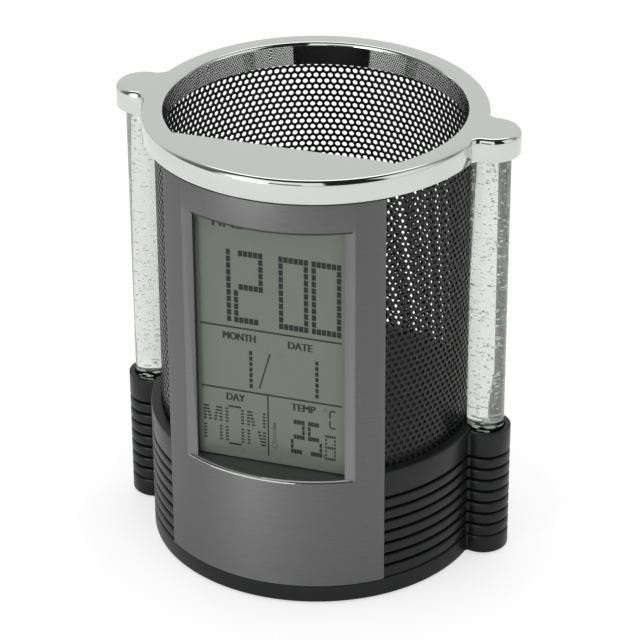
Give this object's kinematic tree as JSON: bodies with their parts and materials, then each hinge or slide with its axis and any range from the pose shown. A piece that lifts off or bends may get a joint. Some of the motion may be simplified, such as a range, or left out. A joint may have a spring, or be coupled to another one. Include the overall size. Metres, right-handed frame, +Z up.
{
  "type": "pen holder clock",
  "caption": "Round desk pen holder: perforated steel cup in a ribbed base, chrome rim, two clear bubble pillars and a curved front panel with a dot-matrix digital clock.",
  "frame": {"origin": "middle of the underside, on the table", "axes": "+Z up, the clock faces -Y, the two pillars stand at -X and +X"},
  "size_m": [0.1002, 0.0828, 0.114],
  "materials": {
    "chrome": "bright chrome plating on plastic",
    "black_plastic": "satin moulded black",
    "black_steel": "semi-gloss black paint on perforated sheet",
    "panel_grey": "satin metallic grey",
    "acrylic": "polished clear, full of small bubbles",
    "display": "greenish grey reflective display under glass",
    "board": "green solder mask",
    "contact_steel": "nickel-plated spring steel",
    "screw_steel": "black zinc",
    "dark_component": "moulded component body",
    "rubber": "matt black",
    "silicone": "striped conductive elastomer",
    "cell_jacket": "plain printed film",
    "lamp": "clear epoxy"
  },
  "bodies": {
    "housing": {"base_shell": "black_plastic", "bottom_cover": "black_plastic", "foot_pad_1": "rubber", "foot_pad_2": "rubber", "foot_pad_3": "rubber", "foot_pad_4": "rubber", "battery_1": "cell_jacket", "battery_2": "cell_jacket", "contact_link": "contact_steel", "contact_spring": "contact_steel", "contact_plate": "contact_steel", "buzzer": "dark_component", "led_left": "lamp", "led_right": "lamp", "key_switch_1": "dark_component", "key_switch_2": "dark_component", "key_switch_3": "dark_component", "key_switch_4": "dark_component", "key_board": "board", "mesh_cup": "black_steel", "top_ring": "chrome", "light_rod_left": "acrylic", "light_rod_right": "acrylic", "front_panel": "panel_grey", "lcd_frame": "black_plastic", "lcd_glass": "display", "zebra_connector": "silicone", "main_board": "board", "thermistor": "dark_component", "case_back": "black_plastic", "cover_screw_1": "screw_steel", "cover_screw_2": "screw_steel", "cover_screw_3": "screw_steel", "cover_screw_4": "screw_steel", "deck_screw_1": "screw_steel", "deck_screw_2": "screw_steel", "case_screw_1": "screw_steel", "case_screw_2": "screw_steel", "panel_screw_1": "screw_steel", "panel_screw_2": "screw_steel", "key_screw_1": "screw_steel", "key_screw_2": "screw_steel"},
    "door": {"battery_door": "black_plastic"},
    "key_1": {"button_1": "black_plastic"},
    "key_2": {"button_2": "black_plastic"},
    "key_3": {"button_3": "black_plastic"},
    "key_4": {"button_4": "black_plastic"}
  },
  "joints": [
    {"name": "door_slide", "type": "slide", "parent": "housing", "child": "door", "axis": [0, 1, 0], "range_m": [0, 0.0063]},
    {"name": "key_1_press", "type": "slide", "parent": "housing", "child": "key_1", "axis": [0, -1, 0], "range_m": [0, 0.0005], "stiffness_N_per_m": 400, "springref_m": -0.001},
    {"name": "key_2_press", "type": "slide", "parent": "housing", "child": "key_2", "axis": [0, -1, 0], "range_m": [0, 0.0005], "stiffness_N_per_m": 400, "springref_m": -0.001},
    {"name": "key_3_press", "type": "slide", "parent": "housing", "child": "key_3", "axis": [0, -1, 0], "range_m": [0, 0.0005], "stiffness_N_per_m": 400, "springref_m": -0.001},
    {"name": "key_4_press", "type": "slide", "parent": "housing", "child": "key_4", "axis": [0, -1, 0], "range_m": [0, 0.0005], "stiffness_N_per_m": 400, "springref_m": -0.001}
  ]
}
